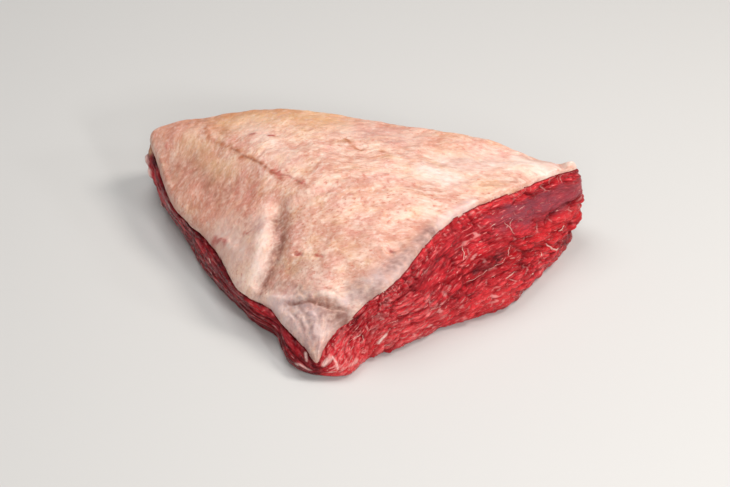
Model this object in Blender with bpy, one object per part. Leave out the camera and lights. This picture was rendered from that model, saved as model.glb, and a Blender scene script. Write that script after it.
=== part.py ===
"""A raw picanha, the triangular cap of a beef rump, lying with its fat side up.

The lean is one solid and the layer of fat that lies over it is another. Both are closed skins of rings
about an upright axis. Each ring is read from smooth closed curves through stations, which go once round
the piece: from its near tip, along the cut face, the right corner, the long side, the left corner and
back along the thin side. Folds and muscle bundles are relief on these skins.
Millimetres become metres where a mesh is made. +Z is up, and the piece rests on Z = 0 with its tip to -Y.
"""

import bpy
import numpy as np

MM = 0.001

# Driving dimensions, in millimetres
CROWN_HEIGHT = 62
CROWN_FULLNESS = 1.9
FAT_EDGE = 3
FAT_DEPTH = 9
FAT_TAPER = 12
RING_SMOOTHING = 50
RELIEF_MARGIN = 6
RELIEF_BELOW = 0.6
LAYER_GAP = 0.3
FOOT_RADIUS = 5
WALL_FULLNESS = 1.35
LOW_WALL = 35
CORNER_BLEND = 12
AXIS = (-8, 12)
CENTRING = (1.47, -6.71)

# How finely the skins are faceted
AROUND = 144
WALL_ROWS = 15
FOOT_ROWS = 3
FAT_RINGS = np.array(
    [1, 0.99, 0.97, 0.94, 0.9, 0.86, 0.82, 0.785, 0.75, 0.715, 0.68, 0.64, 0.59, 0.53, 0.45, 0.35, 0.23, 0.1]
)
UNDER_FAT_RINGS = np.array([1, 0.95, 0.86, 0.7, 0.45, 0.18])

# Stations: where, the edge of the fat (x, y, z), the foot of the lean (x, y) and the swell of the wall
STATIONS = (
    ("tip", -25.8, -83.5, 11, -23, -85.5, 1),
    ("tip, cut side", -21.5, -77.5, 16, -10.5, -85.5, 1),
    ("nose", -12.5, -69, 25, -0.5, -75, 1.5),
    ("nose, far end", 5, -61, 38, 17.5, -64, 2),
    ("cut face, start", 17, -54, 44, 40, -50, 2.5),
    ("cut face, quarter", 36.5, -30.5, 54.5, 63, -39, 2.5),
    ("cut face, middle", 57, -12, 59, 84, -26.5, 3),
    ("cut face, far", 86, 9, 57, 103, -2, 4),
    ("right corner, near", 110, 28, 53, 119, 19.5, 4.5),
    ("right corner", 123, 37, 51.5, 125.5, 37, 4.5),
    ("right corner, back", 111, 42.5, 48.5, 117, 50, 3),
    ("long side, right", 78, 52.5, 54.5, 82, 64, 3),
    ("long side, middle", 22, 70, 55.8, 24, 82, 3),
    ("long side, left", -58, 89, 54.2, -56, 99, 3),
    ("long side, far", -98, 89.5, 47.3, -99, 97.5, 3),
    ("left corner", -129.5, 85.5, 39.5, -124, 89, 5),
    ("left corner, side", -127, 72, 35, -121.5, 68, 5.5),
    ("thin side, far", -113.5, 33.5, 28.5, -113, 43, 3),
    ("thin side, quarter", -95.7, 9, 26.6, -100.5, 17, 1.8),
    ("thin side, middle", -86, -5, 26, -95, 2.5, 2.5),
    ("thin side, fold", -66.5, -42, 23.5, -72.5, -30, 2),
    ("thin side, step", -54, -49.5, 22, -58, -47, 2),
    ("thin side, notch", -49.8, -53.9, 20.7, -50, -53.5, 1.2),
    ("thin side, near", -44.5, -62, 18.5, -46, -65.5, 1.5),
    ("tip, thin side", -33, -77.5, 14, -36, -81, 1.5),
)

# Relief of the fat: what it is, its height, its half width, and its path over the plan
FAT_RELIEF = (
    ("valley", -5, 4.5, ((-45, 0), (-45, -12), (-45, -25), (-49, -33), (-54, -40), (-59, -43))),
    ("hump beside the valley", 2.5, 7, ((-54, -14), (-56, -24), (-60, -33))),
    (
        "fold over the tongue", -4, 3.5,
        ((-72, -41), (-57, -47), (-41, -51), (-33, -55), (-25, -61), (-15, -62)),
    ),
    ("lip of the fold", 2, 4, ((-55, -41), (-40, -45), (-30, -50), (-20, -55), (-12, -56))),
    ("hollow of the tongue", -1.5, 7, ((-30, -62), (-26, -70))),
    ("shallow dip", -2, 13, ((-106, 58), (-88, 40), (-72, 20))),
    ("swell of the thin side", 2, 12, ((-76, 2), (-66, -18))),
    ("dip on the crown", -1.2, 12, ((-40, 45), (-10, 30), (10, 5))),
    ("pit", -2, 3, ((15, -38), (18, -37))),
    ("lump at the right corner", 3.5, 4, ((120, 37), (123, 37))),
)

# Bundles of muscle on the wall: height, how many down it, how many they climb in a girth, wander length
CUT_BUNDLES = ((1.0, 4, 7, 210), (0.6, 7, 10, 120))
SIDE_BUNDLES = ((1.2, 2.2, 2, 190), (0.6, 4, 4, 110))


def closed_curve(knots, values, length, at):
    """A smooth closed curve through values at knots, read at every place in at.

    It is the periodic cubic spline: the second derivatives solve the usual system, with ends joined.
    """
    count = len(knots)
    here = np.arange(count)
    after = np.roll(here, -1)
    before = np.roll(here, 1)
    gap = np.diff(np.append(knots, knots[0] + length))
    slope = (values[after] - values) / gap[:, None]
    system = np.zeros((count, count))
    system[here, before] += gap[before]
    system[here, here] += 2 * (gap[before] + gap)
    system[here, after] += gap
    bend = np.linalg.solve(system, 6 * (slope - slope[before]))
    at = np.mod(at, length)
    span = np.clip(np.searchsorted(knots, at, side="right") - 1, 0, count - 1)
    t = (at - knots[span])[:, None]
    g = gap[span][:, None]
    start = bend[span]
    end = bend[after[span]]
    first = slope[span] - g * (2 * start + end) / 6
    return values[span] + first * t + start / 2 * t**2 + (end - start) / (6 * g) * t**3


def station_curve():
    """The places of the stations along the mean of rim and foot, their values, and the way all round."""
    values = np.array([station[1:] for station in STATIONS], float)
    middle = (values[:, :2] + values[:, 3:5]) / 2
    step = np.hypot(*(np.roll(middle, -1, axis=0) - middle).T)
    return np.append(0, np.cumsum(step)[:-1]), values, step.sum()


KNOTS, VALUES, GIRTH = station_curve()


def place_of(name):
    """The place along the girth of the station with this name."""
    return KNOTS[[station[0] for station in STATIONS].index(name)]


def rim_and_foot(at):
    """At each place: the rim of the fat (x, y, z), the foot (x, y), the swell and the way out (x, y)."""
    read = closed_curve(KNOTS, VALUES, GIRTH, at)
    ahead = closed_curve(KNOTS, VALUES, GIRTH, at + 2)
    behind = closed_curve(KNOTS, VALUES, GIRTH, at - 2)
    along = ahead - behind
    along = along[:, :2] + along[:, 3:5]
    outward = np.stack([along[:, 1], -along[:, 0]], axis=1)
    return read[:, :3], read[:, 3:5], read[:, 5], outward / np.hypot(*outward.T)[:, None]


def smooth_step(value):
    value = np.clip(value, 0, 1)
    return value * value * (3 - 2 * value)


def between(at, first, last, blend):
    """1 from one station to another, fading to 0 over this length on either side."""
    length = np.mod(place_of(last) - place_of(first), GIRTH)
    middle = place_of(first) + length / 2
    away = np.abs(np.mod(at - middle + GIRTH / 2, GIRTH) - GIRTH / 2)
    return 1 - smooth_step((away - length / 2) / blend)


def beside_path(x, y, path, half_width):
    """A bell across a path over the plan: 1 on it, falling off to either side."""
    nearest = np.full(x.shape, np.inf)
    for (x0, y0), (x1, y1) in zip(path[:-1], path[1:]):
        run_x, run_y = x1 - x0, y1 - y0
        along = ((x - x0) * run_x + (y - y0) * run_y) / (run_x**2 + run_y**2)
        along = np.clip(along, 0, 1)
        nearest = np.minimum(nearest, np.hypot(x - x0 - along * run_x, y - y0 - along * run_y))
    return np.exp(-((nearest / half_width) ** 2))


def fat_relief(x, y):
    """Height of the folds and lumps of the fat over the smooth crown."""
    return sum(height * beside_path(x, y, path, width) for _, height, width, path in FAT_RELIEF)


def crown(at, rings):
    """Plan points, the smooth crown over the rim, and how far in from the rim, for rings of places.

    A ring is the rim drawn in towards the axis, and averaged along the girth more the further in it lies.
    Its height rises from the rim's to the crown's by 1 - ring to the power of the crown's fullness.
    """
    ring = rings[:, None]
    steps = np.linspace(-1, 1, 9)
    places = at + RING_SMOOTHING * (1 - ring) * steps[:, None, None]
    rim = rim_and_foot(places.ravel())[0].reshape(*places.shape, 3).mean(axis=0)
    reach = rim[..., :2] - AXIS
    plan = AXIS + ring[..., None] * reach
    height = rim[..., 2] + (CROWN_HEIGHT - rim[..., 2]) * (1 - ring**CROWN_FULLNESS)
    inward = (1 - ring) * np.hypot(reach[..., 0], reach[..., 1])
    return plan, height, inward


def fat_top(at, rings):
    """The face of the fat: the crown, a rounded edge of the fat's edge thickness, and the relief."""
    plan, height, inward = crown(at, rings)
    edge = FAT_EDGE * np.sqrt(1 - (1 - np.clip(inward / FAT_EDGE, 0, 1)) ** 2)
    relief = fat_relief(plan[..., 0], plan[..., 1]) * smooth_step(inward / RELIEF_MARGIN)
    return np.dstack([plan, height + edge + relief])


def under_fat(at, rings):
    """The underside of the fat: it meets the face at the rim, deepens inward and follows its relief."""
    plan, height, inward = crown(at, rings)
    depth = (FAT_DEPTH - FAT_EDGE) * (1 - np.exp(-inward / FAT_TAPER))
    relief = fat_relief(plan[..., 0], plan[..., 1]) * smooth_step(inward / RELIEF_MARGIN)
    return np.dstack([plan, height - depth + RELIEF_BELOW * relief])


def bundles(at, down, waves):
    """Ridges that run along the wall: sines down it, whose crests climb, wander and swell along it."""
    turn = 2 * np.pi
    height = 0
    for tall, count, climb, length in waves:
        along = turn * at / length
        wander = np.sin(along + count)
        crest = np.sin(turn * (count * down - climb * at / GIRTH) + wander)
        height = height + tall * crest * (0.6 + 0.4 * np.sin(0.8 * along + 3 * count))
    return height


def wall(at, down):
    """The wall of the lean: from the rim, at down = 0, to the rounded foot, at down = 1.

    The plan goes from rim to foot fast at first, and swells between them. Past down = 1 it turns in
    through the quarter circle of the foot, which reaches the rest plane at down = 2.
    """
    rim, foot, belly, outward = rim_and_foot(at)
    top = rim[:, 2] - LAYER_GAP
    radius = np.minimum(FOOT_RADIUS, 0.4 * top)
    fall = np.clip(down, 0, 1)[:, None]
    turn = np.pi / 2 * np.clip(down - 1, 0, 1)[:, None]
    flare = 1 - (1 - fall) ** WALL_FULLNESS
    cut = between(at, "tip, cut side", "right corner", CORNER_BLEND)
    ridges = cut * bundles(at, fall, CUT_BUNDLES) + (1 - cut) * bundles(at, fall, SIDE_BUNDLES)
    fade = np.sqrt(np.sin(np.pi * fall)) * np.minimum(1, top / LOW_WALL)
    swell = belly * np.sin(np.pi * fall**1.2) ** 0.8 + ridges * fade - radius * (1 - np.cos(turn))
    height = top - (top - radius) * fall - radius * np.sin(turn)
    plan = rim[None, :, :2] + flare[..., None] * (foot - rim[:, :2]) + swell[..., None] * outward
    return np.dstack([plan, height])


def closed_skin(name, rings, first_pole, last_pole, material):
    """An object whose skin is these rings, with a fan to a pole at each end.

    The diagonal of each cell starts at the wider of its two rings, so that two skins through the same
    rings have the same facets whichever way they run.
    """
    count, around, _ = rings.shape
    points = np.concatenate([rings.reshape(-1, 3), [first_pole, last_pole]])
    points[:, :2] += CENTRING
    here = np.arange(around)
    beside = np.roll(here, -1)
    row = around * np.arange(count - 1)[:, None]
    a, b, c, d = row + here, row + around + here, row + around + beside, row + beside
    width = np.hypot(*np.moveaxis(rings[..., :2] - AXIS, 2, 0)).sum(axis=1)
    wider = (width[:-1] > width[1:])[:, None, None]
    first = np.where(wider, np.stack([a, b, c], axis=2), np.stack([a, b, d], axis=2))
    second = np.where(wider, np.stack([a, c, d], axis=2), np.stack([b, c, d], axis=2))
    pole = around * count
    last = around * (count - 1)
    top_fan = np.stack([np.full(around, pole), here, beside], axis=1)
    bottom_fan = np.stack([np.full(around, pole + 1), last + beside, last + here], axis=1)
    faces = np.concatenate([top_fan, first.reshape(-1, 3), second.reshape(-1, 3), bottom_fan])
    mesh = bpy.data.meshes.new(name)
    mesh.from_pydata((points * MM).tolist(), [], faces.tolist())
    mesh.materials.append(material)
    mesh.shade_smooth()
    piece = bpy.data.objects.new(name, mesh)
    bpy.context.scene.collection.objects.link(piece)
    return piece


def meat_material(name, colour, roughness):
    """A plain wet surface of one colour (linear red, green and blue)."""
    material = bpy.data.materials.new(name)
    material.use_nodes = True
    surface = material.node_tree.nodes["Principled BSDF"]
    surface.inputs["Base Color"].default_value = (*colour, 1)
    surface.inputs["Roughness"].default_value = roughness
    surface.inputs["Metallic"].default_value = 0
    return material


def make_fat_cap(at):
    """The fat: its face from the axis to the rim, then its underside back to the axis."""
    face = fat_top(at, FAT_RINGS[::-1])
    underside = under_fat(at, UNDER_FAT_RINGS[1:])
    top_pole = fat_top(at[:1], np.zeros(1))[0, 0]
    under_pole = under_fat(at[:1], np.zeros(1))[0, 0]
    rings = np.concatenate([face, underside])
    fat = meat_material("Beef fat", (0.80, 0.52, 0.40), 0.4)
    return closed_skin("fat_cap", rings, top_pole, under_pole, fat)


def make_lean(at):
    """The lean: a bed along the fat's underside, the wall, the rounded foot and the flat underside."""
    bed = under_fat(at, UNDER_FAT_RINGS[::-1])
    bed_pole = under_fat(at[:1], np.zeros(1))[0, 0]
    bed[..., 2] -= LAYER_GAP
    bed_pole[2] -= LAYER_GAP
    down = np.append(np.linspace(0, 1, WALL_ROWS + 1)[1:], 1 + np.linspace(0, 1, FOOT_ROWS + 1)[1:])
    rings = np.concatenate([bed, wall(at, down)])
    under_pole = (*AXIS, 0)
    beef = meat_material("Raw beef", (0.42, 0.03, 0.03), 0.35)
    return closed_skin("lean", rings, bed_pole, under_pole, beef)


for old in list(bpy.data.objects):
    bpy.data.objects.remove(old, do_unlink=True)
places = GIRTH * np.arange(AROUND) / AROUND
make_fat_cap(places)
make_lean(places)
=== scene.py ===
import bpy
import numpy as np
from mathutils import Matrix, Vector


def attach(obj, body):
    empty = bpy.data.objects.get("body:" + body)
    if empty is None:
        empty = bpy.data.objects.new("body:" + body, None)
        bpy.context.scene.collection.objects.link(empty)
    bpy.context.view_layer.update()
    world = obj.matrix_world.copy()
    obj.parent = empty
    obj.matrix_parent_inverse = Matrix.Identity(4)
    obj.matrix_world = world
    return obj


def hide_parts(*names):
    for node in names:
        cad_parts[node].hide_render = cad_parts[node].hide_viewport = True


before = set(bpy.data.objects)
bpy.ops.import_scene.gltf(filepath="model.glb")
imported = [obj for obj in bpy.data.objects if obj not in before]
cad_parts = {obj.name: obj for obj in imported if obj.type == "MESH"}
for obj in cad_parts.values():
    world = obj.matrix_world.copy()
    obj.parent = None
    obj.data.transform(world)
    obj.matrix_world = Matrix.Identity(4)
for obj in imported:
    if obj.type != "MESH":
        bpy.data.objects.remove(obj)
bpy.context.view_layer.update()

# Lean
# The muscle under the fat: sliced across its bundles at the cut face, which runs from the tip to the thick
# right corner, and pulled off along a seam, with shreds of silver skin, on the other sides. Wet and bare.

# Sizes are in mm, from a datum of the stations' own. CENTRING moves them to the middle of the part.
MM = 0.001
AXIS = (-8, 12)
CENTRING = (1.47, -6.71)
CROWN_HEIGHT = 62
CROWN_FULLNESS = 1.9
FAT_EDGE = 3
FAT_DEPTH = 9
FAT_TAPER = 12
RING_SMOOTHING = 50
RING_SAMPLES = 9
RELIEF_MARGIN = 6
RELIEF_BELOW = 0.6
LAYER_GAP = 0.3
FOOT_RADIUS = 5
FOOT_SHARE = 0.4
WALL_FULLNESS = 1.35
BELLY_LOW = 1.2
BELLY_FULLNESS = 0.8
CORNER_BLEND = 12

# Where, the edge of the fat (x, y, z), the foot of the lean (x, y) and the swell of the wall, in mm
STATIONS = (
    ("tip", -25.8, -83.5, 11, -23, -85.5, 1),
    ("tip, cut side", -22.4, -77.5, 16, -10.5, -85.5, 1),
    ("nose", -12.5, -69, 25, -0.5, -75, 1.5),
    ("nose, far end", 5, -61, 38, 17.5, -64, 2),
    ("cut face, start", 17, -54, 44, 40, -50, 2.5),
    ("cut face, quarter", 36.5, -30.5, 54.5, 63, -39, 2.5),
    ("cut face, middle", 57, -12, 59, 84, -26.5, 3),
    ("cut face, far", 86, 9, 57, 103, -2, 4),
    ("right corner, near", 110, 28, 53, 119, 19.5, 4.5),
    ("right corner", 123, 37, 51.5, 125.5, 37, 4.5),
    ("right corner, back", 111, 42.5, 48.5, 117, 50, 3),
    ("long side, right", 78, 52.5, 54.5, 82, 64, 3),
    ("long side, middle", 22, 70, 55.8, 24, 82, 3),
    ("long side, left", -58, 89, 54.2, -56, 99, 3),
    ("long side, far", -98, 89.5, 47.3, -99, 97.5, 3),
    ("left corner", -129.5, 85.5, 39.5, -124, 89, 5),
    ("left corner, side", -127, 72, 35, -121.5, 68, 5.5),
    ("thin side, far", -113.5, 33.5, 28.5, -113, 43, 3),
    ("thin side, quarter", -95.7, 9, 26.6, -100.5, 17, 1.8),
    ("thin side, middle", -86, -5, 26, -95, 2.5, 2.5),
    ("thin side, fold", -66.5, -42, 23.5, -72.5, -30, 2),
    ("thin side, step", -54, -49.5, 22, -58, -47, 2),
    ("thin side, notch", -49.8, -53.9, 20.7, -50, -53.5, 1.2),
    ("thin side, near", -44.5, -62, 18.5, -46, -65.5, 1.5),
    ("tip, thin side", -31.6, -77, 14, -36, -81, 1.5),
)


def closed_curve(knots, values, length, at):
    """A smooth closed curve through values at knots: the periodic cubic spline."""
    count = len(knots)
    here = np.arange(count)
    after = np.roll(here, -1)
    before = np.roll(here, 1)
    gap = np.diff(np.append(knots, knots[0] + length))
    slope = (values[after] - values) / gap[:, None]
    system = np.zeros((count, count))
    system[here, before] += gap[before]
    system[here, here] += 2 * (gap[before] + gap)
    system[here, after] += gap
    bend = np.linalg.solve(system, 6 * (slope - slope[before]))
    at = np.mod(at, length)
    span = np.clip(np.searchsorted(knots, at, side="right") - 1, 0, count - 1)
    t = (at - knots[span])[..., None]
    g = gap[span][..., None]
    first = slope[span] - g * (2 * bend[span] + bend[after[span]]) / 6
    third = (bend[after[span]] - bend[span]) / (6 * g)
    return values[span] + first * t + bend[span] / 2 * t**2 + third * t**3


# The girth is measured half way between the edge of the fat and the foot of the lean
MEASURES = np.array([station[1:] for station in STATIONS], float)
MIDDLE = (MEASURES[:, :2] + MEASURES[:, 3:5]) / 2
APART = np.hypot(*(np.roll(MIDDLE, -1, axis=0) - MIDDLE).T)
KNOTS = np.append(0, np.cumsum(APART)[:-1])
GIRTH = APART.sum()
PLACES = {station[0]: knot for station, knot in zip(STATIONS, KNOTS)}


def smooth_step(value):
    """0 below 0, 1 above 1, and 3 v^2 - 2 v^3 between."""
    value = np.clip(value, 0, 1)
    return value * value * (3 - 2 * value)


def bell(value):
    """1 at 0, falling off to either side as e to the minus value squared."""
    return np.exp(-(value**2))


def hashed(i, j, seed):
    """A number from 0 to 1 for each pair of whole numbers, by multiplying, shifting and exclusive-or."""
    value = (i * 374761393 + j * 668265263 + seed * 974634777).astype(np.uint32)
    value = (value ^ (value >> np.uint32(13))) * np.uint32(1274126177)
    value = (value ^ (value >> np.uint32(15))) * np.uint32(2246822519)
    return (value ^ (value >> np.uint32(16))) / 2**32


def swells(x, y, seed, turn=0):
    """Smooth noise, mostly within 1 of 0. Each whole-number corner holds a slope in a hashed direction, and
    the slopes of the four corners round a point are blended by the smooth step. It repeats at x = turn."""
    x, y = np.broadcast_arrays(x, y)
    column, row = np.floor(x).astype(np.int64), np.floor(y).astype(np.int64)
    right, up = x - column, y - row
    corner = {}
    for i in (0, 1):
        for j in (0, 1):
            angle = 2 * np.pi * hashed((column + i) % turn if turn else column + i, row + j, seed)
            corner[i, j] = np.cos(angle) * (right - i) + np.sin(angle) * (up - j)
    low = corner[0, 0] + smooth_step(right) * (corner[1, 0] - corner[0, 0])
    high = corner[0, 1] + smooth_step(right) * (corner[1, 1] - corner[0, 1])
    return 1.6 * (low + smooth_step(up) * (high - low))


def round_girth(at, across, long, short, seed):
    """Swells stretched along the girth, long by short mm, that meet again after one turn."""
    turn = max(1, round(GIRTH / long))
    return swells(at * turn / GIRTH, across / short, seed, turn)


def bundles(at, across, long, short, seed):
    """Muscle bundles as cells, long by short mm, round points scattered one to each square of a grid.

    It gives each place's dome, which is 0 at the seam between two cells and 1 well inside one, from the
    difference of its distances to the two nearest points, and its cell's own number from 0 to 1.
    """
    turn = max(1, round(GIRTH / long))
    x, y = np.broadcast_arrays(at * turn / GIRTH, across / short)
    column, row = np.floor(x).astype(np.int64), np.floor(y).astype(np.int64)
    nearest, second = np.full(x.shape, 9.0), np.full(x.shape, 9.0)
    owner = np.zeros(x.shape)
    for i in (-1, 0, 1):
        for j in (-1, 0, 1):
            cell = (column + i) % turn
            away_x = column + i + 0.1 + 0.8 * hashed(cell, row + j, seed) - x
            away_y = row + j + 0.1 + 0.8 * hashed(cell, row + j, seed + 1) - y
            away = np.hypot(away_x, away_y)
            closer = away < nearest
            second = np.where(closer, nearest, np.minimum(second, away))
            owner = np.where(closer, hashed(cell, row + j, seed + 2), owner)
            nearest = np.minimum(nearest, away)
    inside = np.clip((second - nearest) / 0.6, 0, 1)
    return 1 - (1 - inside) ** 2, owner


def between(at, first, last, blend):
    """1 from one station to another, fading to 0 over this length on either side."""
    length = np.mod(PLACES[last] - PLACES[first], GIRTH)
    centre = PLACES[first] + length / 2
    away = np.abs(np.mod(at - centre + GIRTH / 2, GIRTH) - GIRTH / 2)
    return 1 - smooth_step((away - length / 2) / blend)


def beside_path(x, y, path, half_width):
    """A bell across a path: 1 on it, falling off to either side."""
    nearest = np.full(np.broadcast(x, y).shape, np.inf)
    for (x0, y0), (x1, y1) in zip(path[:-1], path[1:]):
        run_x, run_y = x1 - x0, y1 - y0
        along = ((x - x0) * run_x + (y - y0) * run_y) / (run_x**2 + run_y**2)
        along = np.clip(along, 0, 1)
        nearest = np.minimum(nearest, np.hypot(x - x0 - along * run_x, y - y0 - along * run_y))
    return bell(nearest / half_width)


def uneven(at, across, rows):
    """Swells round the girth summed over rows: height, length along, length across, all in mm, and seed."""
    return sum(height * round_girth(at, across, *sizes) for height, *sizes in rows)


RIM_OUT = ((0.6, 11, 1, 31), (0.45, 4.5, 1, 32))
RIM_UP = ((0.8, 17, 1, 33), (0.4, 6, 1, 34))
SIDE_RAGGEDNESS = 0.35


def ragged(at):
    """How far the knife and the muscle seam left the rim uneven: mm out and mm up at each place."""
    cut = between(at, "nose", "right corner, near", 10)
    rough = SIDE_RAGGEDNESS + (1 - SIDE_RAGGEDNESS) * cut
    return rough * uneven(at, 0, RIM_OUT), rough * uneven(at, 0, RIM_UP)


def rim_and_foot(at):
    """At each place: the rim of the fat (x, y, z), the foot (x, y), the swell and the way out (x, y)."""
    before, read, after = (closed_curve(KNOTS, MEASURES, GIRTH, at + step) for step in (-2, 0, 2))
    along = (after - before)[..., :2] + (after - before)[..., 3:5]
    outward = np.stack([along[..., 1], -along[..., 0]], axis=-1)
    outward /= np.linalg.norm(outward, axis=-1)[..., None]
    out, up = ragged(at)
    rim = read[..., :3].copy()
    rim[..., :2] += out[..., None] * outward
    rim[..., 2] += up
    return rim, read[..., 3:5], read[..., 5], outward


# Forms of the fat: what, mm up, half width, path (x, y) over the plan
VALLEY = ((-49, 0), (-47.6, -12), (-47.2, -21), (-49.8, -31), (-53.6, -38), (-58, -43))
FAT_RELIEF = (
    ("valley", -4.2, 5.2, VALLEY),
    ("hump beside the valley", 2.2, 8, ((-56.5, -14), (-58, -24), (-60.5, -33))),
    ("fold over the tongue", -1, 4, ((-42, -56), (-32, -59), (-20, -64))),
    ("lip of the fold", 0.7, 4, ((-55, -42), (-40, -46), (-28, -52), (-12, -58))),
    ("shallow dip", -2, 13, ((-106, 58), (-88, 40), (-72, 20))),
    ("swell of the thin side", 2, 12, ((-76, 2), (-66, -18))),
    ("dip on the crown", -1.2, 12, ((-40, 45), (-10, 30), (10, 5))),
    ("pit", -2, 3, ((15, -38), (18, -37))),
    ("lump at the right corner", 3.2, 4, ((121.5, 37), (124.5, 37))),
)


def relief_over(x, y, rows):
    """The heights of rows (what, height, half width, path) summed over the plan."""
    return sum(height * beside_path(x, y, path, width) for _, height, width, path in rows)


def crown(at, ring):
    """Plan (x, y), the smooth crown over the rim, and how far in from the rim, at each place and ring.

    A ring is the rim drawn in towards the axis, and averaged along the girth more the further in it lies.
    Its height rises from the rim's to the crown's by 1 - ring to the power of the crown's fullness.
    """
    steps = np.linspace(-1, 1, RING_SAMPLES).reshape(RING_SAMPLES, *([1] * np.ndim(at)))
    rim = rim_and_foot(at + RING_SMOOTHING * (1 - ring) * steps)[0].mean(axis=0)
    reach = rim[..., :2] - AXIS
    plan = AXIS + ring[..., None] * reach
    height = rim[..., 2] + (CROWN_HEIGHT - rim[..., 2]) * (1 - ring**CROWN_FULLNESS)
    return plan, height, (1 - ring) * np.hypot(reach[..., 0], reach[..., 1])


def under_fat(at, ring):
    """The underside of the fat: it meets the face at the rim, deepens inward and follows its relief."""
    plan, height, inward = crown(at, ring)
    depth = (FAT_DEPTH - FAT_EDGE) * (1 - np.exp(-inward / FAT_TAPER))
    relief = relief_over(plan[..., 0], plan[..., 1], FAT_RELIEF) * smooth_step(inward / RELIEF_MARGIN)
    return np.dstack([plan, height - depth + RELIEF_BELOW * relief])


# Cells of muscle along the wall, coarse to fine: length, width and height in mm, and painted shade in the
# seams
CUT_BUNDLES = ((32, 8, 2.3, 0.8), (13, 4.2, 1.8, 0.8), (6, 2, 0.8, 0.5))
CRUMBS = ((6, 4.6, 2.3, 0.7), (3, 2.4, 1.1, 0.4), (1.5, 1.3, 0.4, 0.2))
SIDE_BUNDLES = ((30, 11, 2.2, 0.9), (14, 5, 0.8, 0.5), (6, 2.4, 0.25, 0.2))
BUNDLE_CLIMB = 9
CLIMB_PLACE = 105
CLIMB_LENGTH = 60
NOSE_DROP = 14
DROP_PLACE, DROP_LENGTH = 5, 65
RETURN_PLACE, RETURN_LENGTH = 210, 230
FIBRE_WANDER = ((3, 48, 26, 1), (1, 17, 12, 2), (0.5, 8, 6, 3))
SIDE_WANDER = ((7, 60, 60, 8),)
WALL_SCALE = 50
CRUMBLED_DEPTH = 5
PATCH_START, PATCH_END = 110, 192
PATCH_TOP, PATCH_BOTTOM = 4.5, 17
PATCH_EDGE = ((3.5, 12, 7, 41), (1.5, 5, 3, 42))

# Grooves and ridges on the wall: what, mm out, half width, path (mm along the girth, mm down the wall)
WALL_MARKS = (
    ("groove under the white seam", -1.3, 1.5, ((91, 31), (101, 33), (112, 33), (121, 31))),
    ("crease of the right corner", -1.8, 1.5, ((160, 23), (168, 20), (177, 19), (190, 20))),
    ("hollow above the nose", -1.2, 5, ((8, 3), (22, 5), (34, 7))),
    ("shallow of the right corner", -1.5, 6, ((170, 32), (182, 30), (196, 32))),
    ("bulge below the fat, nose", 0.9, 1.6, ((14, 1.2), (66, 1.2))),
    ("bulge below the fat, right", 0.9, 1.6, ((110, 1.2), (150, 1.2), (192, 1.2))),
    ("undercut of the right corner", -4.5, 7, ((176, 48), (188, 46), (202, 46))),
    ("shelf at the bottom", 1.2, 5, ((84, 46), (100, 48), (118, 49))),
    ("knob below the fat", 1.4, 4.5, ((99, 5), (108, 5))),
    ("hollow below the fat", -1.8, 2.2, ((92, 4), (100, 2.5), (110, 2))),
    ("gap below the fat, left corner", -2.4, 2.2, ((446, 2.5), (470, 3), (510, 3), (545, 2))),
    ("gap below the fat, thin side", -1.4, 1.3, ((545, 2), (600, 1.5), (640, 1.2))),
    ("step under the fold", 1.6, 3.5, ((598, 5), (610, 6), (618, 7))),
    ("nub of the tip", 1.8, 2.6, ((650, 9), (655, 7))),
    ("full corner below the fat", 1.8, 6.5, ((184, 6), (204, 7))),
    ("upper lump of the left corner", 2.4, 1.7, ((463, 12), (467, 12))),
    ("lower lump of the left corner", 2, 1.5, ((470, 14), (473, 15))),
    ("third lump of the left corner", 1.4, 1.2, ((489, 22), (491, 23))),
    ("pale patch at the tip", 0.4, 2, ((2, 2.8), (8, 4))),
    ("white chunk", 0.5, 1.4, ((34, 24.5), (39, 23))),
)


def grain(at, drop, top):
    """Mm across the muscle fibres, which run along the lines on the wall where it stays the same.

    The fibres follow the girth, drawn together where the wall is low, climb in a bell and wander slowly. Off
    the nose they drop below the rim by a smooth step, which is given back slowly along the long side.
    """
    off_cut = 1 - between(at, "tip, cut side", "right corner", 20)
    wander = uneven(at, drop, FIBRE_WANDER) + off_cut * uneven(at, drop, SIDE_WANDER)
    climb = BUNDLE_CLIMB * bell((at - CLIMB_PLACE) / CLIMB_LENGTH)
    dropped = smooth_step((at - DROP_PLACE) / DROP_LENGTH) - smooth_step((at - RETURN_PLACE) / RETURN_LENGTH)
    return drop * np.sqrt(WALL_SCALE / top) + climb - NOSE_DROP * dropped + wander


def layered(at, across, sizes, seed):
    """Relief in mm about a mean of 0, and painted shade in the seams, from layers of cells, coarse to fine.

    In places a thin light sinew lies in the seams of the first two layers: how plain it is, is given too.
    """
    relief, seam, sinew = 0, 0, 0
    for layer, (long, short, height, dark) in enumerate(sizes):
        dome, lift = bundles(at, across, long, short, seed + 3 * layer)
        patchy = smooth_step(0.7 + 0.6 * round_girth(at, across, 2 * long, 3 * short, seed + 3 * layer + 1))
        relief = relief + height * patchy * (dome * (0.4 + 1.1 * lift) - 0.7)
        seam = seam + dark * patchy * (1 - dome) ** 1.5
        if layer < 2:
            in_seam = smooth_step(1 - dome / (0.3 + 0.15 * layer))
            where = round_girth(at, across, 0.7 * long, 1.6 * short, seed + 60 + layer)
            here = smooth_step(2.2 * where - 0.35)
            sinew = np.maximum(sinew, in_seam * here)
    return relief, seam, sinew


def crumbled(at, drop):
    """Near 1 where the fibres are crumbled: all over the nose, and in a ragged band under the fat beyond."""
    edge = 2 * round_girth(at, drop, 12, 9, 35)
    band = between(at, "nose, far end", "cut face, middle", 16)
    band = band * (1 - smooth_step((drop - CRUMBLED_DEPTH + edge) / 4))
    return np.maximum(band, 0.85 * between(at, "tip, cut side", "nose, far end", 10))


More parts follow.
